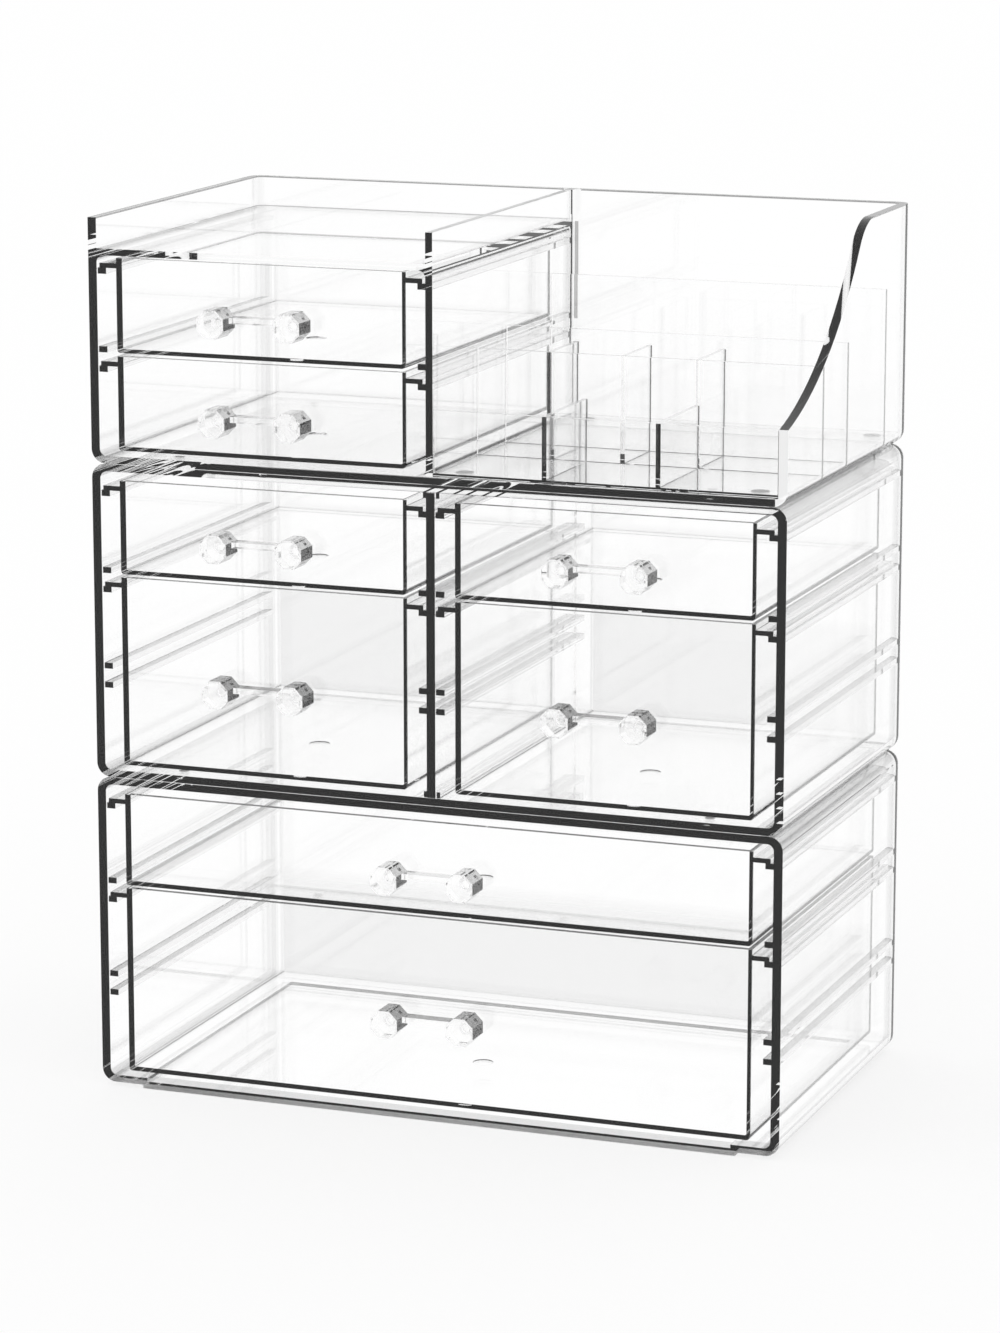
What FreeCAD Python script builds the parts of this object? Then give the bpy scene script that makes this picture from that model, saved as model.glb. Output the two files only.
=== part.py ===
"""Stackable clear organiser: two drawer tiers and a top tier with a drawer tower and open compartments.

Frame: +X to the right, +Y to the back, +Z up. The origin is the middle of the footprint, on the surface
that the organiser stands on. Every tier is drawn in its own case frame (X from the middle, Y from the
front edge of the case, Z from the underside of its floor) and then moved to its place in the stack.
"""
import math
import os

import FreeCAD
import Part

Vec = FreeCAD.Vector

# ---- Driving dimensions, in millimetres ----------------------------------------------------------

# The moulded cases
case_width = 240.0
case_depth = 136.0
side_wall = 3.0
back_wall = 3.0
plate = 2.5               # floor and top plates
outer_round = 4.8         # outside edges that run front to back, and the back edges
inner_round = 2.4         # the same edges inside

# The drawers and the levels that they hang at
shallow_height = 31.2
drawer_gap = 1.2          # between one drawer and the next below it
floor_gap = 2.1           # between the lowest drawer and the floor plate
head_gap = 2.95           # between the highest drawer and the plate above it
levels_per_case = 3
back_gap = 2.0            # between a closed drawer and the back wall
side_gap = 7.0            # between a drawer's side and the wall that carries it
drawer_front_wall = 2.0
drawer_wall = 1.5
drawer_floor = 1.2
drawer_round = 1.0        # outside edges of a drawer
drawer_inner_round = 0.5
gate_radius = 3.5         # round mark in a drawer's floor where it was moulded
gate_setback = 48.0
gate_depth = 0.3

# Rails on the walls, and the flanges that ride in them
rib_reach = 3.0
rib_thickness = 2.0
rib_setback = 0.8         # of the ribs' front ends behind the case's front edge
channel_height = 4.5      # between a lower and an upper rib
flange_thickness = 1.6
flange_drop = 1.8         # from a drawer's top edge to the top of its flange
flange_tip_gap = 1.0      # between a flange's tip and the wall
flange_back_gap = 3.4     # from the back of a drawer to the end of its flange
runner_clearance = 0.1    # between a flange and the rib that it rests on

# The foot under the lower tier's floor, with a pocket of the same depth inside
foot_drop = 1.2
foot_side_inset = 15.0
foot_back_inset = 10.0
foot_wall = 1.5           # how far the pocket's edges lie inside the foot's

# The round pips under a tier's floor and the dimples in the top plate below that they sit in
pip_radius = 1.6
pip_height = 0.95
pip_side_inset = 27.5     # from the outside of a side wall to a pip's middle
pip_front_inset = 9.5     # from the front edge of the case to a front pip's middle
pip_back_inset = 12.0
dimple_clearance = 0.15   # around a pip
dimple_depth = 0.8
seat_gap = 0.08           # air between two flat faces that only just touch

# The divider in the middle tier
divider_thickness = 3.0
divider_clearance = 0.15
guide_thickness = 1.2
guide_height = 2.0

# The top tier
tower_levels = 2
tower_wall = 2.4
tower_head_gap = 0.7      # between the upper tower drawer and the panel above it
tray_panel = 2.2
tray_depth = 10.1
sweep_front_height = 24.2  # of the right wall at the front
sweep_end = 92.3          # from the front to where the sweep meets the rim
shoulder_radius = 20.0
shoulder_turn = 52.0      # degrees that the shoulder turns through

# The rack of open compartments
insert_clearance = 0.2
insert_floor = 0.9
pad_radius = 3.0          # pads under the rack's corners
pad_height = 0.2
pad_inset = 8.0
rack_wall = 1.6
front_wall_height = 24.2  # rack walls are measured up from the underside of the case floor
first_wall_height = 38.8
second_wall_height = 42.9
third_wall_height = 54.9
first_row = 38.1          # clear depths of the rows, front to back
second_row = 25.4
third_row = 41.9
narrow_bank = 75.0        # width that the front row splits in two and the second row in three
front_row_splits = 2
second_row_splits = 3

# The double-knob handles
knob_spacing = 26.6
knob_width = 9.4          # across the flats of its eight sides
knob_depth = 10.0
knob_chamfer = 0.5        # round its front face
bar_height = 2.0
bar_depth = 4.6
bar_rise = 1.0            # of the bar's middle above the knobs' middles
bar_gap = 0.4             # between the bar and the drawer front
handle_drop = 3.3         # below the middle of the drawer front
peg_radius = 1.5
peg_clearance = 0.05
stake_radius = 2.7
stake_height = 1.0

# ---- Sizes that follow from them ------------------------------------------------------------------

cut_margin = 1.0          # how far a cutting solid runs past the face that it opens
overlap = 0.5             # how far a rib or flange is sunk into the wall that it is moulded on

half_width = case_width / 2
inner_half = half_width - side_wall
inner_depth = case_depth - back_wall
level_pitch = shallow_height + drawer_gap
deep_height = shallow_height + level_pitch
drawer_depth = inner_depth - back_gap

foot_half = half_width - foot_side_inset
foot_depth = case_depth - foot_back_inset
stack_gap = pip_height - dimple_depth

column_width = inner_half - divider_thickness / 2
column_x = divider_thickness / 2 + column_width / 2
full_drawer_width = 2 * (inner_half - side_gap)
half_drawer_width = column_width - 2 * side_gap
flange_reach = side_gap - flange_tip_gap

front_y = (knob_depth - case_depth) / 2


def drawer_top(level):
    """Height of the top edge of a drawer that hangs at a level, 0 being the lowest."""
    return plate + floor_gap + shallow_height + level * level_pitch


case_height = drawer_top(levels_per_case - 1) + head_gap + plate
panel_bottom = drawer_top(tower_levels - 1) + tower_head_gap
panel_top = panel_bottom + tray_panel
top_height = panel_top + tray_depth

lower_z = foot_drop
middle_z = lower_z + case_height + stack_gap
top_z = middle_z + case_height + stack_gap

# The tower is as wide inside as one column of the middle tier, so their drawers are the same.
tower_wall_left = -divider_thickness / 2
tower_wall_right = tower_wall_left + tower_wall


# ---- Shapes that the pieces share -----------------------------------------------------------------

def block(x_range, y_range, z_range):
    """A box between two places along each axis."""
    corner = Vec(x_range[0], y_range[0], z_range[0])
    size = [span[1] - span[0] for span in (x_range, y_range, z_range)]
    return Part.makeBox(size[0], size[1], size[2], corner)


def rounded_block(x_range, y_range, z_range, radius, round_top=True, round_bottom=True):
    """A box with rounded edges, except round its front face and, if asked, its top or bottom."""
    solid = block(x_range, y_range, z_range)

    def stays_sharp(edge):
        ends = [vertex.Point for vertex in edge.Vertexes]
        on_front = all(abs(point.y - y_range[0]) < 1e-6 for point in ends)
        on_top = all(abs(point.z - z_range[1]) < 1e-6 for point in ends)
        on_bottom = all(abs(point.z - z_range[0]) < 1e-6 for point in ends)
        return on_front or (on_top and not round_top) or (on_bottom and not round_bottom)

    edges = [edge for edge in solid.Edges if not stays_sharp(edge)]
    return solid.makeFillet(radius, edges)


def prism(outline, x_range):
    """A YZ outline, a closed wire or a list of points, extruded along X."""
    if isinstance(outline, list):
        points = [Vec(x_range[0], y, z) for y, z in outline]
        outline = Part.makePolygon(points + points[:1])
    return Part.Face(outline).extrude(Vec(x_range[1] - x_range[0], 0, 0))


def fused(solids):
    """One solid from solids that overlap, with the seams between their faces cleaned away."""
    first = solids[0]
    return first.fuse(solids[1:]).removeSplitter()


def write(name, shape, move):
    """Move a piece from its case frame to its place and write its STEP file."""
    placed = shape.copy()
    placed.translate(move)
    placed.exportStep("parts/" + name + ".step")
    print(name, len(placed.Solids), "solid,", round(placed.Volume / 1000, 2), "cm3")


# ---- Rails ----------------------------------------------------------------------------------------

def rail_ribs(wall_x, direction, levels):
    """Ribs on one wall face for drawers at the given levels; direction is the side they stand out to.

    Each level has a lower rib that carries the flange. The upper rib keeps a pulled drawer from
    tipping; at the highest level the plate above does that, so it has none.
    """
    root = wall_x - direction * overlap
    tip = wall_x + direction * rib_reach
    x_range = (min(root, tip), max(root, tip))
    y_range = (rib_setback, inner_depth + overlap)
    ribs = []
    for level in levels:
        seat = drawer_top(level) - flange_drop - flange_thickness - runner_clearance
        ribs.append(block(x_range, y_range, (seat - rib_thickness, seat)))
        if level != levels[-1]:
            keeper = seat + channel_height
            ribs.append(block(x_range, y_range, (keeper, keeper + rib_thickness)))
    return ribs


# ---- Cases ----------------------------------------------------------------------------------------

def stack_points():
    """Where the pips of one tier meet the dimples of the one below, in the case frame."""
    x = half_width - pip_side_inset
    rows = (pip_front_inset, case_depth - pip_back_inset)
    return [(side * x, y) for side in (-1, 1) for y in rows]


def pips():
    """Short round pips under a tier's floor."""
    return [
        Part.makeCylinder(pip_radius, pip_height + overlap, Vec(x, y, -pip_height))
        for x, y in stack_points()]


def with_dimples(case):
    """The case with a dimple in its top plate for each pip of the tier above."""
    for x, y in stack_points():
        dimple = Part.makeCylinder(
            pip_radius + dimple_clearance, dimple_depth + cut_margin, Vec(x, y, case_height - dimple_depth))
        case = case.cut(dimple)
    return case


def drawer_shell():
    """The shell that both drawer tiers share: open at the front, with rails on its side walls."""
    outer = rounded_block(
        (-half_width, half_width), (0, case_depth), (0, case_height), outer_round)
    hollow = rounded_block(
        (-inner_half, inner_half), (-cut_margin, inner_depth), (plate, case_height - plate), inner_round)
    levels = range(levels_per_case)
    ribs = rail_ribs(-inner_half, 1, levels) + rail_ribs(inner_half, -1, levels)
    return with_dimples(fused([outer.cut(hollow)] + ribs))


def lower_case():
    """The lower tier: the shared shell on a broad foot, which is hollowed from above."""
    foot = block((-foot_half, foot_half), (0, foot_depth), (-foot_drop, overlap))
    pocket = block(
        (-foot_half + foot_wall, foot_half - foot_wall),
        (-cut_margin, foot_depth - foot_wall),
        (plate - foot_drop, plate + cut_margin))
    return fused([drawer_shell(), foot]).cut(pocket)


def middle_case():
    """The middle tier: the shared shell on pips, with guides for its divider."""
    return fused([drawer_shell()] + pips() + divider_guides())


def divider_guides():
    """Pairs of low ribs on the floor and under the top plate that hold the divider upright."""
    inner = divider_thickness / 2 + divider_clearance
    outer = inner + guide_thickness
    floor = plate
    ceiling = case_height - plate
    y_range = (rib_setback, inner_depth - inner_round)
    guides = []
    for x_range in ((-outer, -inner), (inner, outer)):
        guides.append(block(x_range, y_range, (floor - overlap, floor + guide_height)))
        guides.append(block(x_range, y_range, (ceiling - guide_height, ceiling + overlap)))
    return guides


def divider():
    """The upright panel between the two columns of the middle tier, with rails on both faces."""
    floor = plate + seat_gap
    ceiling = case_height - plate - divider_clearance
    back = inner_depth - divider_clearance
    outline = [
        (0, floor),
        (back - inner_round, floor),
        (back, floor + inner_round),
        (back, ceiling - inner_round),
        (back - inner_round, ceiling),
        (0, ceiling),
    ]
    half = divider_thickness / 2
    panel = prism(outline, (-half, half))
    levels = range(levels_per_case)
    ribs = rail_ribs(half, 1, levels) + rail_ribs(-half, -1, levels)
    reach = half + rib_reach
    inside = block((-reach, reach), (0, back), (floor, ceiling))
    return fused([panel] + [rib.common(inside) for rib in ribs])


def sweep_outline():
    """The part of the right wall that is cut away: in front of and above its S-shaped edge.

    From the front the edge rises as one long hollow arc, which runs without a corner into the
    rounded shoulder at the rim.
    """
    turn = math.radians(shoulder_turn)
    shoulder_centre = (sweep_end, top_height - shoulder_radius)

    def on_shoulder(angle):
        return (shoulder_centre[0] - shoulder_radius * math.sin(angle),
                shoulder_centre[1] + shoulder_radius * math.cos(angle))

    start = (-cut_margin, sweep_front_height)
    join = on_shoulder(turn)
    end = on_shoulder(0)

    # The hollow arc passes through the start and leaves the join along the shoulder's tangent.
    chord = (join[0] - start[0], join[1] - start[1])
    normal = (-math.sin(turn), math.cos(turn))
    along_normal = chord[0] * normal[0] + chord[1] * normal[1]
    radius = -(chord[0] ** 2 + chord[1] ** 2) / (2 * along_normal)
    centre = (join[0] + radius * normal[0], join[1] + radius * normal[1])
    middle = (start[0] + join[0] - 2 * centre[0], start[1] + join[1] - 2 * centre[1])
    length = math.hypot(middle[0], middle[1])
    hollow_middle = (centre[0] + radius * middle[0] / length, centre[1] + radius * middle[1] / length)

    x = inner_half - cut_margin
    above = top_height + cut_margin

    def point(place):
        return Vec(x, place[0], place[1])

    edges = [
        Part.Arc(point(start), point(hollow_middle), point(join)).toShape(),
        Part.Arc(point(join), point(on_shoulder(turn / 2)), point(end)).toShape(),
        Part.LineSegment(point(end), point((end[0], above))).toShape(),
        Part.LineSegment(point((end[0], above)), point((start[0], above))).toShape(),
        Part.LineSegment(point((start[0], above)), point(start)).toShape(),
    ]
    return Part.Wire(edges)


def top_case():
    """The top tier: drawer tower with a tray on it at the left, open space for the rack at the right."""
    outer = rounded_block(
        (-half_width, half_width), (0, case_depth), (0, top_height), outer_round, round_top=False)
    tower_x = (-inner_half, tower_wall_left)
    rack_x = (tower_wall_right, inner_half)
    y_range = (-cut_margin, inner_depth)
    above = top_height + cut_margin
    shell = outer.cut(rounded_block(tower_x, y_range, (plate, panel_bottom), inner_round))
    for x_range, floor in ((tower_x, panel_top), (rack_x, plate)):
        shell = shell.cut(rounded_block(
            x_range, y_range, (floor, above), inner_round, round_top=False, round_bottom=False))
    shell = shell.cut(prism(sweep_outline(), (inner_half - cut_margin, half_width + cut_margin)))

    levels = range(tower_levels)
    ribs = rail_ribs(-inner_half, 1, levels) + rail_ribs(tower_wall_left, -1, levels)
    return fused([shell] + pips() + ribs)


# ---- The rack of open compartments ----------------------------------------------------------------

def rack_places():
    """The rack's left and right ends and the front faces of its cross walls, in the case frame."""
    left = tower_wall_right + insert_clearance
    right = inner_half - insert_clearance
    first = rack_wall + first_row
    second = first + rack_wall + second_row
    third = second + rack_wall + third_row
    return left, right, (first, second, third)


def bank_dividers(left, splits, y_range, z_range):
    """Dividers that split the narrow bank evenly; the last one closes the bank."""
    pitch = (narrow_bank + rack_wall) / splits
    walls = []
    for number in range(1, splits + 1):
        x_end = left + number * pitch
        walls.append(block((x_end - rack_wall, x_end), y_range, z_range))
    return walls


def compartment_insert():
    """The rack: a thin floor on pads, a front wall, three cross walls that step up, and dividers."""
    left, right, walls = rack_places()
    first, second, third = walls
    floor = plate + pad_height
    across = (left, right)
    pieces = [
        block(across, (0, inner_depth), (floor, floor + insert_floor)),
        block(across, (0, rack_wall), (floor, front_wall_height)),
        block(across, (first, first + rack_wall), (floor, first_wall_height)),
        block(across, (second, second + rack_wall), (floor, second_wall_height)),
        block(across, (third, third + rack_wall), (floor, third_wall_height)),
    ]
    pieces += bank_dividers(left, front_row_splits, (0, first + overlap), (floor, front_wall_height))
    pieces += bank_dividers(
        left, second_row_splits, (first, second + overlap), (floor, first_wall_height))

    # The rack follows the rounded back corners of its space in the case, less its clearance.
    envelope = rounded_block(
        across, (0, inner_depth - insert_clearance), (floor, top_height),
        inner_round, round_top=False, round_bottom=False)
    pads = [
        Part.makeCylinder(pad_radius, pad_height + insert_floor / 2, Vec(x, y, plate))
        for x in (left + pad_inset, right - pad_inset)
        for y in (pad_inset, inner_depth - pad_inset)]
    return fused([fused(pieces).common(envelope)] + pads)


# ---- Drawers --------------------------------------------------------------------------------------

def drawer(width, height):
    """An open drawer hung by two side flanges. X from its middle, Y from its front, Z from its floor."""
    half = width / 2
    inner = half - drawer_wall
    outer = rounded_block((-half, half), (0, drawer_depth), (0, height), drawer_round, round_top=False)
    hollow = rounded_block(
        (-inner, inner), (drawer_front_wall, drawer_depth - drawer_wall),
        (drawer_floor, height + cut_margin), drawer_inner_round, round_top=False)
    gate = Part.makeCylinder(gate_radius, drawer_floor, Vec(0, gate_setback, drawer_floor - gate_depth))
    flange_top = height - flange_drop
    flange_end = drawer_depth - flange_back_gap
    pieces = [outer.cut(hollow).cut(gate)]
    for side in (-1, 1):
        root = side * (half - overlap)
        tip = side * (half + flange_reach)
        pieces.append(block(
            (min(root, tip), max(root, tip)), (0, flange_end),
            (flange_top - flange_thickness, flange_top)))
    body = fused(pieces)

    hole_z = height / 2 - handle_drop
    for side in (-1, 1):
        hole = Part.makeCylinder(
            peg_radius + peg_clearance, drawer_front_wall + 2 * cut_margin,
            Vec(side * knob_spacing / 2, -cut_margin, hole_z), Vec(0, 1, 0))
        body = body.cut(hole)
    return body


def knob(x):
    """An eight-sided knob, flat side up, with its front edges chamfered. -Y points at the user."""
    depth = knob_depth - seat_gap
    corner_radius = knob_width / 2 / math.cos(math.pi / 8)
    points = []
    for number in range(8):
        angle = (number + 0.5) * math.pi / 4
        points.append(Vec(
            x + corner_radius * math.cos(angle), -knob_depth, corner_radius * math.sin(angle)))
    face = Part.Face(Part.makePolygon(points + points[:1]))
    solid = face.extrude(Vec(0, depth, 0))
    front_edges = [edge for edge in solid.Edges if edge.BoundBox.YMax < cut_margin - knob_depth]
    return solid.makeChamfer(knob_chamfer, front_edges)


def handle():
    """Two faceted knobs on one bar, with a staked peg behind each. Y is from the drawer front."""
    half_spacing = knob_spacing / 2
    stake_start = drawer_front_wall + seat_gap
    pieces = []
    for x in (-half_spacing, half_spacing):
        pieces.append(knob(x))
        pieces.append(Part.makeCylinder(
            peg_radius, stake_start + stake_height + overlap,
            Vec(x, -overlap, 0), Vec(0, 1, 0)))
        pieces.append(Part.makeCone(
            stake_radius, peg_radius, stake_height, Vec(x, stake_start, 0), Vec(0, 1, 0)))
    pieces.append(block(
        (-half_spacing, half_spacing),
        (-bar_gap - bar_depth, -bar_gap),
        (bar_rise - bar_height / 2, bar_rise + bar_height / 2)))
    return fused(pieces)


# ---- The whole organiser --------------------------------------------------------------------------

# name, width, height, level, middle in X, height of its tier
drawer_places = [
    ("lower_shallow", full_drawer_width, shallow_height, 2, 0, lower_z),
    ("lower_deep", full_drawer_width, deep_height, 1, 0, lower_z),
    ("middle_left_shallow", half_drawer_width, shallow_height, 2, -column_x, middle_z),
    ("middle_left_deep", half_drawer_width, deep_height, 1, -column_x, middle_z),
    ("middle_right_shallow", half_drawer_width, shallow_height, 2, column_x, middle_z),
    ("middle_right_deep", half_drawer_width, deep_height, 1, column_x, middle_z),
    ("tower_upper", half_drawer_width, shallow_height, 1, -column_x, top_z),
    ("tower_lower", half_drawer_width, shallow_height, 0, -column_x, top_z),
]


def build():
    """Write one STEP file for each piece."""
    os.makedirs("parts", exist_ok=True)
    write("lower_case", lower_case(), Vec(0, front_y, lower_z))
    write("middle_case", middle_case(), Vec(0, front_y, middle_z))
    write("middle_divider", divider(), Vec(0, front_y, middle_z))
    write("top_case", top_case(), Vec(0, front_y, top_z))
    write("compartment_insert", compartment_insert(), Vec(0, front_y, top_z))
    for name, width, height, level, x, tier_z in drawer_places:
        bottom = tier_z + drawer_top(level) - height
        write(name + "_drawer", drawer(width, height), Vec(x, front_y, bottom))
        handle_z = bottom + height / 2 - handle_drop
        write(name + "_handle", handle(), Vec(x, front_y, handle_z))


build()
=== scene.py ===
# %% [markdown]
# # A clear acrylic makeup organiser
#
# The real object is three moulded tiers that stand on each other. The two lower tiers hold wide
# and half-width drawers, and the top one has a small drawer tower beside a rack of open
# compartments. Every piece is clear acrylic (PMMA), so there is no colour to paint: what the eye
# reads is how each sheet bends light, and the dark lines where light gets lost inside an edge.
#
# The shapes could be built again here, but the CAD model already has their true sizes. So this
# lesson loads that model and works on the finish, the edges, the light and the camera.

import math

import bpy
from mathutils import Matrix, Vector


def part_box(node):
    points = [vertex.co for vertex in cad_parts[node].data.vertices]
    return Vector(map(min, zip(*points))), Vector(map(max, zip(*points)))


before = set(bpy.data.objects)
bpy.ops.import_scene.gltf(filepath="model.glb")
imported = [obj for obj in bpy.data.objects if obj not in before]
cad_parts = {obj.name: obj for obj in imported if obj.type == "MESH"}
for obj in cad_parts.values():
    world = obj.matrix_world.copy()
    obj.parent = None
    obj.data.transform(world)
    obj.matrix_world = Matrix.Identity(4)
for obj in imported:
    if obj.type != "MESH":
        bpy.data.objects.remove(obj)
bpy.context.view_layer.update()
scene = bpy.context.scene

# %% [markdown]
# ## The camera
#
# The organiser is seen from a little above and from its right-hand side, from one and a half
# metres away through a long lens, as products usually are. A long lens keeps the uprights nearly
# parallel. The position could be set by eye, but a few edges of known length fix it exactly, so
# these are plain numbers: where the camera is, how far it turns and dips, and its focal length in
# widths of the picture.

# %% Camera
CAMERA_PLACE = Vector((0.5558, -1.4704, 0.4779))
CAMERA_TURN = math.radians(20.70)
CAMERA_DIP = math.radians(12.09)
LOOKING_LEVEL = math.radians(90)
FOCAL_WIDTHS = 4.7762
SENSOR_MM = 36.0
FARTHEST_SEEN = 20.0

camera_data = bpy.data.cameras.new("product_camera")
camera_data.sensor_fit = "HORIZONTAL"
camera_data.sensor_width = SENSOR_MM
camera_data.lens = FOCAL_WIDTHS * SENSOR_MM
camera_data.clip_end = FARTHEST_SEEN
camera = bpy.data.objects.new("product_camera", camera_data)
camera.location = CAMERA_PLACE
camera.rotation_euler = (LOOKING_LEVEL - CAMERA_DIP, 0.0, CAMERA_TURN)
scene.collection.objects.link(camera)
scene.camera = camera
print("lens", round(camera_data.lens, 1), "mm, distance", round(CAMERA_PLACE.length, 2), "m")

# %% [markdown]
# ## How far light may travel inside the acrylic
#
# A ray that enters a thin sheet at its edge is trapped: it bounces from face to face by total
# reflection until it finds a way out. In real acrylic the long paths arrive weak and grey, which
# is why the ends of the walls look dark against a white room. An absorbing volume would show
# this too, but it is slow. Cycles counts each of those bounces as a glossy one, so a low limit
# there, with a high one for plain transmission, gives the dark ends and still lets light through
# the twenty or so sheets that stand behind each other.

# %% Light paths
ALL_BOUNCES = 64
SHEETS_CROSSED = 48
TRAPPED_BOUNCES = 7
FLOOR_BOUNCES = 4

scene.cycles.max_bounces = ALL_BOUNCES
scene.cycles.transmission_bounces = SHEETS_CROSSED
scene.cycles.glossy_bounces = TRAPPED_BOUNCES
scene.cycles.diffuse_bounces = FLOOR_BOUNCES
scene.view_settings.view_transform = "Standard"
print("trapped light ends after", TRAPPED_BOUNCES, "reflections")

# %% [markdown]
# ## Colours and nodes
#
# Colours are written as sRGB hex, as a paint shop would give them, and Blender's sockets want
# them linear. The sRGB curve is a straight line near black and a power above it. Nodes could be
# placed by hand in the editor, but a script is easier to read when one small function adds a
# node, fills its sockets and links what comes from another node.

# %% Colour helper
WHITE = "FFFFFF"
CHANNEL_FULL = 255
STRAIGHT_UP_TO, STRAIGHT_SLOPE = 0.04045, 12.92
CURVE_OFFSET, CURVE_POWER = 0.055, 2.4


def linear(hex_colour):
    """Turn an sRGB hex colour into the linear RGBA that Blender's sockets take."""
    channels = []
    for start in (0, 2, 4):
        value = int(hex_colour[start:start + 2], 16) / CHANNEL_FULL
        if value <= STRAIGHT_UP_TO:
            channels.append(value / STRAIGHT_SLOPE)
        else:
            channels.append(((value + CURVE_OFFSET) / (1 + CURVE_OFFSET)) ** CURVE_POWER)
    return (*channels, 1.0)


print("mid grey is", [round(value, 3) for value in linear("808080")])

# %% Node helper
def add_node(tree, kind, settings=None):
    """Add one node. Each setting fills a socket or property, or links a node or its output."""
    node = tree.nodes.new(kind)
    for key, value in (settings or {}).items():
        if isinstance(value, bpy.types.Node):
            value = value.outputs[0]
        if isinstance(value, bpy.types.NodeSocket):
            tree.links.new(value, node.inputs[key])
        elif isinstance(key, int) or key in node.inputs:
            node.inputs[key].default_value = value
        else:
            setattr(node, key, value)
    return node


print("ready to add nodes")

# %% [markdown]
# ## The room
#
# Clear things are lit by what is behind them. A white room all round, with no lamp in sight,
# shows the acrylic as thin grey lines on white. An area lamp would only add its own shape to
# every face. So the light is one even white sky at strength 1.

# %% White sky
SKY_STRENGTH = 1.0

world = bpy.data.worlds.new("white_room")
world.use_nodes = True
world.node_tree.nodes.clear()
sky = add_node(world.node_tree, "ShaderNodeBackground", {
    "Color": linear(WHITE), "Strength": SKY_STRENGTH})
add_node(world.node_tree, "ShaderNodeOutputWorld", {"Surface": sky})
scene.world = world
print("sky strength", sky.inputs["Strength"].default_value)

# %% [markdown]
# ## The floor
#
# Matt white card takes the soft shadow of what stands on it. It lies a hair below the foot,
# because two faces at one height would flicker. Pure card would also show grey through every
# sheet above it. Where a ray has passed through the acrylic or bounced off it, the card therefore
# answers with plain white, and the part that the camera sees directly keeps only a trace of the
# shadow, as under a row of studio lights.

# %% Floor
FLOOR_HALF = 10.0
FLOOR_DROP = 0.0003

floor_mesh = bpy.data.meshes.new("white_card_floor")
floor_mesh.from_pydata(
    [(-FLOOR_HALF, -FLOOR_HALF, 0), (FLOOR_HALF, -FLOOR_HALF, 0),
     (FLOOR_HALF, FLOOR_HALF, 0), (-FLOOR_HALF, FLOOR_HALF, 0)],
    [], [(0, 1, 2, 3)])
floor = bpy.data.objects.new("white_card_floor", floor_mesh)
floor.location.z = -FLOOR_DROP
scene.collection.objects.link(floor)
print("floor", 2 * FLOOR_HALF, "m across")

# %% Matt white card
# Uncoated card scatters all its light, so it looks evenly white and shines nowhere.
CARD_WHITE = "FDFDFD"
SHADOW_LIFT = 0.8

card = bpy.data.materials.new("matt_white_card")
card.use_nodes = True
card_tree = card.node_tree
card_tree.nodes.clear()
matt = add_node(card_tree, "ShaderNodeBsdfDiffuse", {"Color": linear(CARD_WHITE)})
lit = add_node(card_tree, "ShaderNodeEmission", {
    "Color": linear(WHITE), "Strength": SKY_STRENGTH})
ray = add_node(card_tree, "ShaderNodeLightPath")
through = add_node(card_tree, "ShaderNodeMath", {
    "operation": "MAXIMUM", 0: ray.outputs["Is Glossy Ray"], 1: ray.outputs["Is Transmission Ray"]})
lift = add_node(card_tree, "ShaderNodeMath", {"operation": "MAXIMUM", 0: through, 1: SHADOW_LIFT})
shade = add_node(card_tree, "ShaderNodeMixShader", {0: lift, 1: matt, 2: lit})
add_node(card_tree, "ShaderNodeOutputMaterial", {"Surface": shade})
floor_mesh.materials.append(card)
print("shadow keeps", round(1 - SHADOW_LIFT, 2), "of its depth")

# %% [markdown]
# ## Moulded acrylic
#
# PMMA moulded against polished steel has an index of refraction of 1.49 and a mirror-smooth
# skin, so it shows almost nothing where a flat sheet faces you. It looks grey where light has a
# long way to go in it or is lost in it: in rounded corners, along the rims, in the ribs, and most
# of all where a round edge turns away from the eye. That grey is shade, and here it is painted.
# A volume that absorbs light would show some of it, but it is slow to render and an exported
# model loses its density. So the painted shade is laid on the skin as a grey in its colour, and
# the surface's own direction and place say where it goes.

# %% What a point on the skin knows
def skin_facts(tree):
    """Where a point of the skin is, in metres, and how far it faces along each axis."""
    geometry = add_node(tree, "ShaderNodeNewGeometry")
    coordinates = add_node(tree, "ShaderNodeTexCoord")
    sides = add_node(tree, "ShaderNodeVectorMath", {
        "operation": "ABSOLUTE", 0: geometry.outputs["Normal"]})
    faces = add_node(tree, "ShaderNodeSeparateXYZ", {0: sides})
    place = add_node(tree, "ShaderNodeSeparateXYZ", {0: coordinates.outputs["Object"]})
    return {"sides": sides, "coordinates": coordinates.outputs["Object"],
            "faces": faces.outputs, "place": place.outputs}


print("a skin knows its place and its direction")

# %% [markdown]
# ## Painted shade in the rounded edges
#
# On a flat sheet one part of the normal is 1 and the others are 0. On a rounded edge they share
# it, so the sum of the three parts rises from 1 to 1.41. Its square less 1 runs from 0 on the
# flats to 1 in the middle of the round. A fixed mask painted by hand would have to be redone for
# each piece, while this follows every round by itself. The outline comes from Layer Weight. With
# an even blend its Facing output rises from 0, where the skin faces you, to 1 at the outline.

# %% Rounded edges
ALL_AXES = (1, 1, 1)
FLAT_TOTAL = 1.0
# Painted shade: how grey the rounds get, and their outlines where they turn out of sight.
ROUND_SHADE = 0.08
EVEN_BLEND = 0.5
OUTLINE_FROM, OUTLINE_FULL = 0.76, 1.0
OUTLINE_SHADE = 0.90
ROUND_AT_ALL = 0.03


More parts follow.
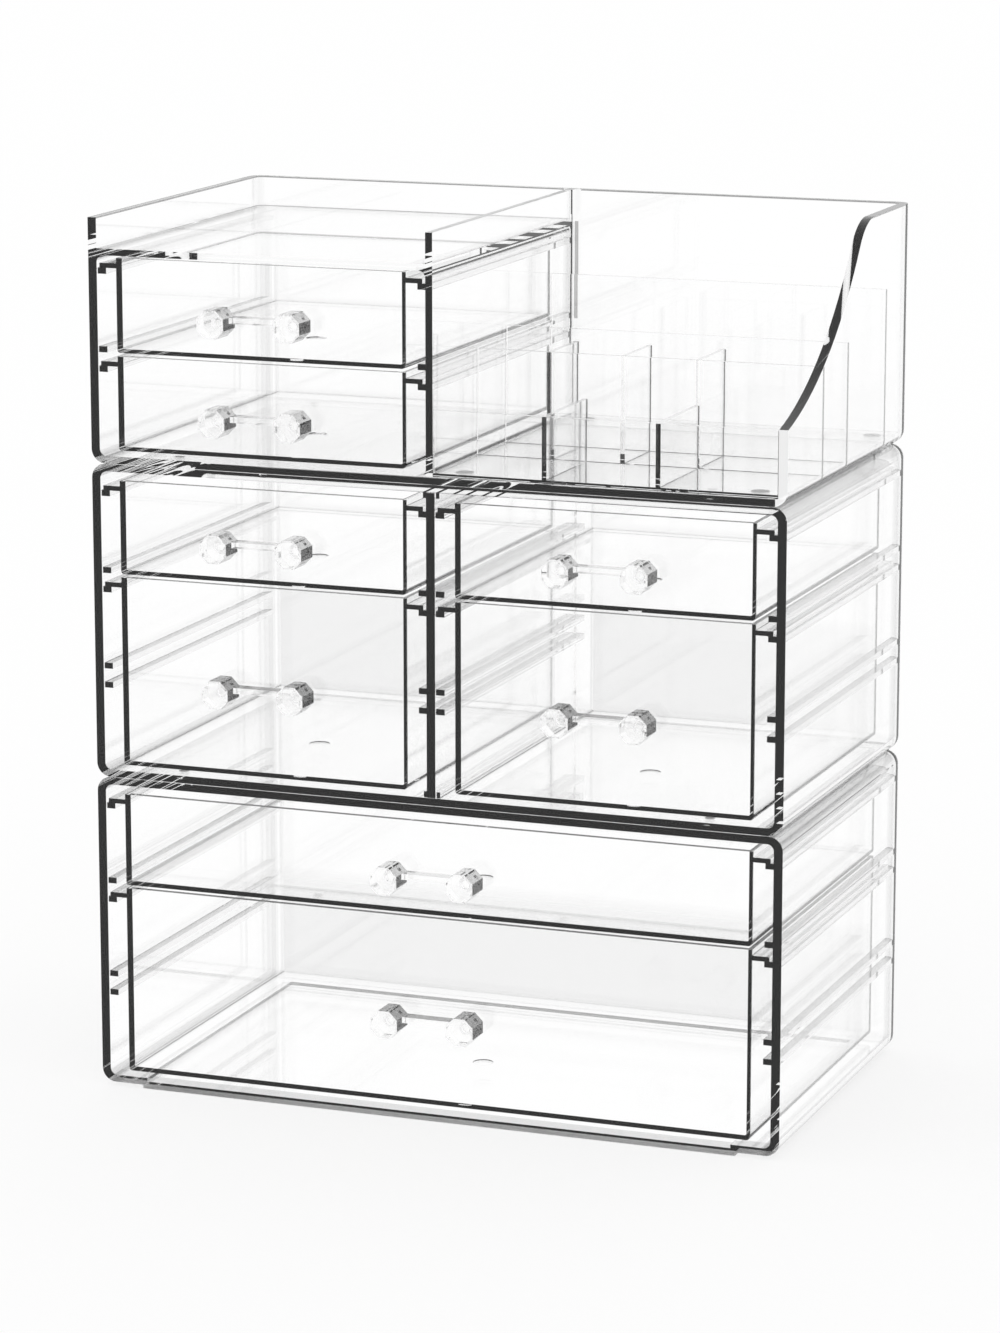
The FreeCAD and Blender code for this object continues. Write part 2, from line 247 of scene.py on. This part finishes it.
def round_edge_shades(tree, skin):
    """Painted shade: grey for a rounded edge, and a darker line where that edge turns out of sight.
    """
    total = add_node(tree, "ShaderNodeVectorMath", {
        "operation": "DOT_PRODUCT", 0: skin["sides"], 1: ALL_AXES}).outputs["Value"]
    roundness = add_node(tree, "ShaderNodeMath", {
        "operation": "MULTIPLY_ADD", "use_clamp": True, 0: total, 1: total, 2: -FLAT_TOTAL})
    rounded = add_node(tree, "ShaderNodeMath", {
        "operation": "MULTIPLY", 0: roundness, 1: ROUND_SHADE})
    turning = add_node(tree, "ShaderNodeLayerWeight", {"Blend": EVEN_BLEND})
    outline = add_node(tree, "ShaderNodeMapRange", {
        "Value": turning.outputs["Facing"], "From Min": OUTLINE_FROM,
        "From Max": OUTLINE_FULL, "To Max": OUTLINE_SHADE})
    is_round = add_node(tree, "ShaderNodeMath", {
        "operation": "GREATER_THAN", 0: roundness, 1: ROUND_AT_ALL})
    line = add_node(tree, "ShaderNodeMath", {"operation": "MULTIPLY", 0: outline, 1: is_round})
    return [rounded, line]


print("rounded edges take", ROUND_SHADE, "and their outlines", OUTLINE_SHADE)

# %% [markdown]
# ## The skin itself
#
# Polished moulds leave no grain. What is left is a slow wave, because a thin wall shrinks
# unevenly as it cools: about 25 mm from crest to crest and a few thousandths of a millimetre
# deep. It could be modelled, but it is far too shallow for a mesh. As a bump it only makes the
# lines behind the sheet tremble a little. Each piece adds its own painted shade to that of the
# round edges, and at each point the strongest one counts.

# %% Acrylic
# Clear and colourless, with crisp lines behind it, and painted grey shade only where the masks say
# so.
PAINTED_SHADE_GREY = "606060"
ACRYLIC_IOR = 1.49
POLISHED = 0.0
FULLY_CLEAR = 1.0
WAVE_LENGTH = 0.025
WAVE_HEIGHT = 0.000004
WAVE_DETAIL = 0.0
WAVE_STRENGTH = 1.0
# The Mix node has a set of sockets for each kind of value, and these are its colours.
FIRST_COLOUR, SECOND_COLOUR, MIXED_COLOUR = 6, 7, 2


def moulded_acrylic(name, own_shades, grey=PAINTED_SHADE_GREY, roughness=None, clearness=None):
    """Clear PMMA from a polished mould, with a piece's own painted shade in its colour."""
    material = bpy.data.materials.new(name)
    material.use_nodes = True
    tree = material.node_tree
    tree.nodes.clear()
    skin = skin_facts(tree)
    amount, *others = round_edge_shades(tree, skin) + own_shades(tree, skin)
    for shade_amount in others:
        amount = add_node(tree, "ShaderNodeMath", {"operation": "MAXIMUM", 0: amount, 1: shade_amount})
    # The painted shade: white where no mask says anything, grey where the strongest one is full.
    colour = add_node(tree, "ShaderNodeMix", {
        "data_type": "RGBA", 0: amount,
        FIRST_COLOUR: linear(WHITE), SECOND_COLOUR: linear(grey)})
    wave = add_node(tree, "ShaderNodeTexNoise", {
        "Vector": skin["coordinates"], "Scale": 1 / WAVE_LENGTH, "Detail": WAVE_DETAIL})
    bump = add_node(tree, "ShaderNodeBump", {
        "Height": wave, "Strength": WAVE_STRENGTH, "Distance": WAVE_HEIGHT})
    shader = add_node(tree, "ShaderNodeBsdfPrincipled", {
        "Transmission Weight": clearness(tree, skin) if clearness else FULLY_CLEAR,
        "IOR": ACRYLIC_IOR, "Base Color": colour.outputs[MIXED_COLOUR],
        "Normal": bump,
        "Roughness": roughness(tree, skin) if roughness else POLISHED})
    add_node(tree, "ShaderNodeOutputMaterial", {"Surface": shader})
    return material


print("wave", WAVE_LENGTH * 1000, "mm long")

# %% [markdown]
# ## The middle case
#
# Each case is one moulded shell, and ribs inside its walls make the channels that the drawers
# run in. A rib and the wall behind it are two thicknesses of acrylic, and from outside they read
# as pale grey bands with a darker upper and lower side. Both are painted shade here. The ribs
# could be separate pieces with their own colour, but they are one moulding with the wall, so the
# painted shade finds them by their place. A rib's middle is a little inside the edge of the
# drawer that it carries, so the drawer's own box gives that place.

# %% Case with ribs
# Clear walls, with a painted pale grey shade wherever a rib doubles the acrylic.
RIB_SHADE = 0.24
RIB_EDGE_SHADE = 0.36
RIB_HALF = 0.0015
RIB_INSET = 0.0006

drawer_left, drawer_right = (corner.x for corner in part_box("middle_left_deep_drawer"))
side_rib = -(drawer_left + RIB_INSET)


def rib_shade(tree, skin, middle, mirrored):
    """Painted grey shade for a rib off a wall, found by its distance from the object's middle."""
    across = skin["place"]["X"]
    if mirrored:
        across = add_node(tree, "ShaderNodeMath", {"operation": "ABSOLUTE", 0: across})
    inside = add_node(tree, "ShaderNodeMath", {
        "operation": "COMPARE", 0: across, 1: middle, 2: RIB_HALF})
    # Painted shade: the rib's upper and lower faces are darker than its sides.
    edges = add_node(tree, "ShaderNodeMath", {
        "operation": "MULTIPLY_ADD", 0: skin["faces"]["Z"], 1: RIB_EDGE_SHADE, 2: RIB_SHADE})
    return add_node(tree, "ShaderNodeMath", {"operation": "MULTIPLY", 0: inside, 1: edges})


def case_shades(tree, skin):
    """Painted shade on the ribs of both side walls."""
    return [rib_shade(tree, skin, side_rib, True)]


finish = {"middle_case": moulded_acrylic("moulded_acrylic_case", case_shades)}
print("ribs", round(side_rib * 1000, 1), "mm from the middle")

# %% [markdown]
# ## The top case
#
# The top case is open, and its rims are sawn and polished. You look down into the whole height
# of a wall there, so they read as dark lines. The tower's right wall is thinner, and its rim
# stays pale. Where that wall meets the back wall the acrylic is thick and shows as a short dark
# upright. Only the tower has ribs, in line with those of the middle case's left half. The dark
# rims, the dark upright and the ribs' grey are painted shade. All of it could be painted on by a
# mask, but every one of these is a straight band, so a few distances from the case's corners and
# from the pieces that stand in it say where it is.

# %% Places in the top case
RIM_DEPTH = 0.0004
JOINT_FROM_RACK = 0.0007
JOINT_DEPTH = 0.0015
JOINT_BELOW = 0.0006
RIBS_BELOW, RIBS_ABOVE = 0.0026, 0.0018

case_low, case_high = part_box("top_case")
rack_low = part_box("compartment_insert")[0]
lower_drawer_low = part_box("tower_lower_drawer")[0]
upper_drawer_low, upper_drawer_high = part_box("tower_upper_drawer")


def middle_and_half(low, high):
    """The middle of a stretch and half its length, which is what Compare takes."""
    return (low + high) / 2, (high - low) / 2


rim_height = case_high.z - RIM_DEPTH
inner_rib = -(drawer_right - RIB_INSET)
tower_top = upper_drawer_high.z + RIBS_ABOVE
tower_middle, tower_half = middle_and_half(lower_drawer_low.z - RIBS_BELOW, tower_top)
joint_across = rack_low.x - JOINT_FROM_RACK
joint_middle, joint_reach = middle_and_half(upper_drawer_low.z - JOINT_BELOW, tower_top)
joint_behind = case_high.y - JOINT_DEPTH
print("rims start", round(rim_height * 1000, 1), "mm up")

# %% Painted shade of the top case
RIM_SHADE = 0.9
WALL_HALF = 0.0030
JOINT_HALF = 0.0011
JOINT_SHADE = 0.85


def top_case_shades(tree, skin):
    """Painted shade on the sawn rims, the thick joint of tower and back wall, and the tower's ribs.
    """
    across = skin["place"]["X"]
    up = skin["place"]["Z"]
    rim = add_node(tree, "ShaderNodeMath", {"operation": "GREATER_THAN", 0: up, 1: rim_height})
    partition = add_node(tree, "ShaderNodeMath", {
        "operation": "COMPARE", 0: across, 1: joint_across, 2: WALL_HALF})
    rim = add_node(tree, "ShaderNodeMath", {
        "operation": "SUBTRACT", "use_clamp": True, 0: rim, 1: partition})
    rim = add_node(tree, "ShaderNodeMath", {"operation": "MULTIPLY", 0: rim, 1: RIM_SHADE})

    joint = add_node(tree, "ShaderNodeMath", {
        "operation": "COMPARE", 0: across, 1: joint_across, 2: JOINT_HALF})
    beside = add_node(tree, "ShaderNodeMath", {
        "operation": "COMPARE", 0: up, 1: joint_middle, 2: joint_reach})
    behind = add_node(tree, "ShaderNodeMath", {
        "operation": "GREATER_THAN", 0: skin["place"]["Y"], 1: joint_behind})
    for part in (beside, behind, JOINT_SHADE):
        joint = add_node(tree, "ShaderNodeMath", {"operation": "MULTIPLY", 0: joint, 1: part})

    level = add_node(tree, "ShaderNodeMath", {
        "operation": "COMPARE", 0: up, 1: tower_middle, 2: tower_half})
    ribs = []
    for middle in (-side_rib, -inner_rib):
        rib = rib_shade(tree, skin, middle, False)
        ribs.append(add_node(tree, "ShaderNodeMath", {"operation": "MULTIPLY", 0: level, 1: rib}))
    return [rim, joint] + ribs


print("rims take", RIM_SHADE, "and the joint", JOINT_SHADE)

# %% [markdown]
# ## A sawn edge
#
# The short upright edge under the sweep of the right wall is left as the saw cut it. Saw marks
# scatter light, so the edge is a dull white instead of a dark line. Roughness alone would only
# turn the line from black to mid grey, so here the skin is less clear and shows its own white.

# %% Top case with its sawn edge
# Clear walls with painted dark shade on the polished rims, and one dull white edge at the front.
SAWN_WIDTH, SAWN_DEPTH = 0.0040, 0.0002
SAWN_WHITE = 0.85


def sawn_front(tree, skin):
    """Less clear on the short upright edge under the sweep."""
    across = add_node(tree, "ShaderNodeMath", {
        "operation": "GREATER_THAN", 0: skin["place"]["X"], 1: case_high.x - SAWN_WIDTH})
    front = add_node(tree, "ShaderNodeMath", {
        "operation": "LESS_THAN", 0: skin["place"]["Y"], 1: case_low.y + SAWN_DEPTH})
    here = add_node(tree, "ShaderNodeMath", {"operation": "MULTIPLY", 0: across, 1: front})
    return add_node(tree, "ShaderNodeMath", {
        "operation": "MULTIPLY_ADD", 0: here, 1: -SAWN_WHITE, 2: FULLY_CLEAR})


finish["top_case"] = moulded_acrylic(
    "moulded_acrylic_open_case", top_case_shades, clearness=sawn_front)
print("the sawn edge is", SAWN_WHITE, "white")

# %% [markdown]
# ## The underside
#
# The lowest case stands on a table and is pushed about, so the front of its foot is scuffed dull
# while the rest stays bright. A scuffed face lets light in from the table, which is why the
# lowest edge looks paler than the edges above it. Scratches could be drawn one by one, but
# nobody sees them from above, so noise as fine as the rub marks, about 1.5 mm, varies the
# roughness.

# %% Scuffed underside
# The same clear walls and ribs, over a foot that looks frosted in front.
SCUFF_SIZE = 0.0015
SCUFF_DETAIL = 2.0
SCUFF_SMOOTH, SCUFF_ROUGH = 0.35, 0.75
SCUFF_HEIGHT, SCUFF_DEPTH = 0.0016, 0.0080

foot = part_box("lower_case")[0]


def scuffed_foot(tree, skin):
    """Rough under the front of the foot and polished everywhere else."""
    marks = add_node(tree, "ShaderNodeTexNoise", {
        "Vector": skin["coordinates"], "Scale": 1 / SCUFF_SIZE, "Detail": SCUFF_DETAIL})
    rough = add_node(tree, "ShaderNodeMapRange", {
        "Value": marks, "To Min": SCUFF_SMOOTH, "To Max": SCUFF_ROUGH})
    under = add_node(tree, "ShaderNodeMath", {
        "operation": "LESS_THAN", 0: skin["place"]["Z"], 1: foot.z + SCUFF_HEIGHT})
    front = add_node(tree, "ShaderNodeMath", {
        "operation": "LESS_THAN", 0: skin["place"]["Y"], 1: foot.y + SCUFF_DEPTH})
    for part in (under, front):
        rough = add_node(tree, "ShaderNodeMath", {"operation": "MULTIPLY", 0: rough, 1: part})
    return rough


finish["lower_case"] = moulded_acrylic(
    "moulded_acrylic_scuffed_foot", case_shades, roughness=scuffed_foot)
print("scuffs", SCUFF_SIZE * 1000, "mm")

# %% [markdown]
# ## The divider
#
# The middle case is split by an upright divider that slides in from the front. It has the same
# ribs on both faces, with the same painted shade. The case's own finish could not find them,
# because they are close to the object's middle, so the divider has a finish that looks there.

# %% Divider finish
# A clear panel with painted pale grey shade where ribs stand on its faces.
def divider_shades(tree, skin):
    """Painted shade on the ribs of both faces."""
    return [rib_shade(tree, skin, inner_rib, True)]


finish["middle_divider"] = moulded_acrylic("moulded_acrylic_divider", divider_shades)
print("divider ribs", round(inner_rib * 1000, 1), "mm from the middle")

# %% [markdown]
# ## Light that gets lost in the rack
#
# The open rack is a loose moulding with thin upright walls that are all flat and sharp-edged.
# Light that enters the front end of a divider is caught between its two faces. A divider is so
# short that some of it gets out again behind, where it should be weak, and the two dividers in
# front and the left one behind them show that most. That weakness is painted shade here. A plain
# painted grey would grey the whole sheet, so this one grows with the number of reflections, and
# only those three have it. The dividers split one bank evenly, so each is found by which split it
# makes, of how many, in which row.

# %% Painted shade of the rack
WEAK_FROM, WEAK_FULL = 1.5, 3.5
RACK_WALL = 0.0016
BANK_WIDTH = 0.0750
FRONT_ROW, SECOND_ROW = 0.0205, 0.0565
DARK_DIVIDERS = ((1, 2, FRONT_ROW), (2, 2, FRONT_ROW), (1, 3, SECOND_ROW))
DIVIDER_HALF, ROW_HALF = 0.0014, 0.0230


def rack_shades(tree, skin):
    """Painted dark shade for light that was reflected a few times inside one of the three dividers.
    """
    light = add_node(tree, "ShaderNodeLightPath")
    weak = add_node(tree, "ShaderNodeMapRange", {
        "Value": light.outputs["Glossy Depth"], "From Min": WEAK_FROM, "From Max": WEAK_FULL})
    painted_shades = []
    for split, splits, row in DARK_DIVIDERS:
        middle = rack_low.x + (BANK_WIDTH + RACK_WALL) * split / splits - RACK_WALL / 2
        across = add_node(tree, "ShaderNodeMath", {
            "operation": "COMPARE", 0: skin["place"]["X"], 1: middle, 2: DIVIDER_HALF})
        along = add_node(tree, "ShaderNodeMath", {
            "operation": "COMPARE", 0: skin["place"]["Y"], 1: rack_low.y + row, 2: ROW_HALF})
        shade_amount = weak
        for part in (across, along):
            shade_amount = add_node(tree, "ShaderNodeMath", {"operation": "MULTIPLY", 0: shade_amount, 1: part})
        painted_shades.append(shade_amount)
    return painted_shades


print("light is weak after", WEAK_FULL, "reflections")

# %% [markdown]
# ## The tops of the rack's walls
#
# They are left as the saw cut them, like the edge under the sweep, so they are a dull white that
# is lost against the white room. They could be strips with a finish of their own, but a wall and
# its top are one piece, so their height and the way they face say where they are.

# %% Rack finish
# Thin clear walls whose tops hardly show, with painted dark shade at the ends of three dividers.
LOST_LIGHT = "101010"
TOPS_ABOVE = 0.0039
LEVEL_FACE = 0.9
TOP_WHITE = 0.85


def sawn_tops(tree, skin):
    """Less clear along the tops of the walls."""
    level = add_node(tree, "ShaderNodeMath", {
        "operation": "GREATER_THAN", 0: skin["faces"]["Z"], 1: LEVEL_FACE})
    high = add_node(tree, "ShaderNodeMath", {
        "operation": "GREATER_THAN", 0: skin["place"]["Z"], 1: rack_low.z + TOPS_ABOVE})
    here = add_node(tree, "ShaderNodeMath", {"operation": "MULTIPLY", 0: level, 1: high})
    return add_node(tree, "ShaderNodeMath", {
        "operation": "MULTIPLY_ADD", 0: here, 1: -TOP_WHITE, 2: FULLY_CLEAR})


finish["compartment_insert"] = moulded_acrylic(
    "moulded_acrylic_insert", rack_shades, grey=LOST_LIGHT, clearness=sawn_tops)
print("wall tops are", TOP_WHITE, "white")

# %% [markdown]
# ## The drawers
#
# A drawer is a thin moulded box with a flange along each side that hangs in the channels. The
# flanges look like the ribs and take the same painted shade. Through the front, the lower part of
# a deep drawer's tall back wall reads as an even pale grey, and that grey is painted shade too. A
# painted grey that every ray saw would also be mirrored in the drawer's floor and walls, so this
# one counts only before the first reflection.

# %% Painted shade of a drawer
FLANGE_REACH = 0.0057
BACK_DEPTH = 0.0020
BACK_FULL, BACK_NONE = 0.036, 0.040
BACK_SHADE = 0.14
FIRST_REFLECTION = 0.5


def flange_shade(tree, skin, middle, start):
    """Painted grey shade for the flanges, which stand out on both sides of the drawer's box."""
    off = add_node(tree, "ShaderNodeMath", {
        "operation": "SUBTRACT", 0: skin["place"]["X"], 1: middle})
    off = add_node(tree, "ShaderNodeMath", {"operation": "ABSOLUTE", 0: off})
    flange = add_node(tree, "ShaderNodeMath", {"operation": "GREATER_THAN", 0: off, 1: start})
    return add_node(tree, "ShaderNodeMath", {"operation": "MULTIPLY", 0: flange, 1: RIB_SHADE})


def back_wall_shade(tree, skin, low, high):
    """Painted pale grey shade on the lower part of the back wall, where no reflection shows it."""
    back = add_node(tree, "ShaderNodeMath", {
        "operation": "GREATER_THAN", 0: skin["place"]["Y"], 1: high.y - BACK_DEPTH})
    fade = add_node(tree, "ShaderNodeMapRange", {
        "Value": skin["place"]["Z"], "From Min": low.z + BACK_NONE,
        "From Max": low.z + BACK_FULL, "To Max": BACK_SHADE})
    light = add_node(tree, "ShaderNodeLightPath")
    direct = add_node(tree, "ShaderNodeMath", {
        "operation": "LESS_THAN", 0: light.outputs["Glossy Depth"], 1: FIRST_REFLECTION})
    for part in (skin["faces"]["Y"], fade, direct):
        back = add_node(tree, "ShaderNodeMath", {"operation": "MULTIPLY", 0: back, 1: part})
    return back


print("back walls are grey up to", BACK_FULL * 1000, "mm")

# %% [markdown]
# ## One finish for each drawer
#
# Each drawer's finish could be tuned by hand, but the drawer's own box gives its middle, its
# width and its height, so one function finishes all eight.

# %% Drawer finishes
# Clear boxes with painted pale shade on the flanges, and a soft painted grey behind the deep
# fronts.
DEEP_FROM = 0.040


def drawer_acrylic(node):
    """The finish of one drawer, worked out from its box."""
    low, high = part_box(node)
    middle, half_width = middle_and_half(low.x, high.x)
    deep = high.z - low.z > DEEP_FROM

    def drawer_shades(tree, skin):
        painted_shades = [flange_shade(tree, skin, middle, half_width - FLANGE_REACH)]
        if deep:
            painted_shades.append(back_wall_shade(tree, skin, low, high))
        return painted_shades

    return moulded_acrylic("moulded_acrylic_" + node, drawer_shades)


for node in sorted(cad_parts):
    if node.endswith("_drawer"):
        finish[node] = drawer_acrylic(node)
print(sum(name.endswith("_drawer") for name in finish), "drawers finished")

# %% [markdown]
# ## The handles
#
# Each handle is two faceted knobs on a bar, moulded in the same acrylic and thick for their
# size. The facets that face you stay clear, and those that turn away hold the light and go grey.
# Glass with cut facets would do this by itself in a dark room. In this white one it is painted
# shade: darkest to the right, where you look into the knob's depth, and lighter below, because
# the table lights the lower facets.

# %% Painted shade of a knob
FRONT_FACE = 0.5
CLEAR_HEIGHT, GREY_HEIGHT = 0.25, 0.55
LOWER_FACET_SHADE = 0.20
RIGHTWARD_FROM, RIGHTWARD_FULL = 0.55, 0.80
TURNED_FROM, TURNED_FULL = 0.20, 0.55


def facet_shades(upper_shade):
    """Painted shade on a knob's facets: dark to the right, grey on the upper half, fading out
    below.
    """
    def knob_shades(tree, skin):
        box = add_node(tree, "ShaderNodeTexCoord")
        height = add_node(tree, "ShaderNodeSeparateXYZ", {0: box.outputs["Generated"]})
        upper = add_node(tree, "ShaderNodeMapRange", {
            "Value": height.outputs["Z"], "From Min": CLEAR_HEIGHT, "From Max": GREY_HEIGHT,
            "To Min": LOWER_FACET_SHADE, "To Max": upper_shade})
        geometry = add_node(tree, "ShaderNodeNewGeometry")
        points = add_node(tree, "ShaderNodeSeparateXYZ", {0: geometry.outputs["Normal"]})
        rightward = add_node(tree, "ShaderNodeMapRange", {
            "Value": points.outputs["X"], "From Min": RIGHTWARD_FROM, "From Max": RIGHTWARD_FULL})
        facet = add_node(tree, "ShaderNodeMath", {
            "operation": "MAXIMUM", 0: upper, 1: rightward})
        turning = add_node(tree, "ShaderNodeLayerWeight", {"Blend": EVEN_BLEND})
        turned = add_node(tree, "ShaderNodeMapRange", {
            "Value": turning.outputs["Facing"], "From Min": TURNED_FROM,
            "From Max": TURNED_FULL})
        round_it = add_node(tree, "ShaderNodeMath", {
            "operation": "LESS_THAN", 0: skin["faces"]["Y"], 1: FRONT_FACE})
        for part in (turned, round_it):
            facet = add_node(tree, "ShaderNodeMath", {
                "operation": "MULTIPLY", 0: facet, 1: part})
        return [facet]

    return knob_shades


print("facets are clear up to", TURNED_FROM, "and grey from", TURNED_FULL)

# %% [markdown]
# ## Two kinds of handle
#
# The shallow drawers' handles have more white behind them, so their upper facets get paler painted
# shade.
# Each handle could measure what is behind it, but the drawer's name already says it.

# %% Handle finishes
# Clear knobs with painted grey shade on their turned facets.
KNOB_SHADE_GREY = "101010"
UPPER_FACET_SHADE = {"deep": 0.92, "shallow": 0.38}

handle_finish = {}
for kind, upper_shade in UPPER_FACET_SHADE.items():
    handle_finish[kind] = moulded_acrylic(
        "moulded_acrylic_" + kind + "_handle", facet_shades(upper_shade), grey=KNOB_SHADE_GREY)
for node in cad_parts:
    if node.endswith("_handle"):
        finish[node] = handle_finish["deep" if "_deep_" in node else "shallow"]
print("upper facets take", UPPER_FACET_SHADE)

# %% [markdown]
# ## Dress the pieces
#
# The CAD pieces keep their shape and place. One finish for all would be shorter, but each piece
# has its tints in its own places. So each gets its finish in every material slot, and nothing of
# the plain CAD grey is left.

# %% Dress the pieces
for node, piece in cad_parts.items():
    for slot in piece.material_slots:
        slot.material = finish[node]
    print(node, "-", piece.material_slots[0].material.name)
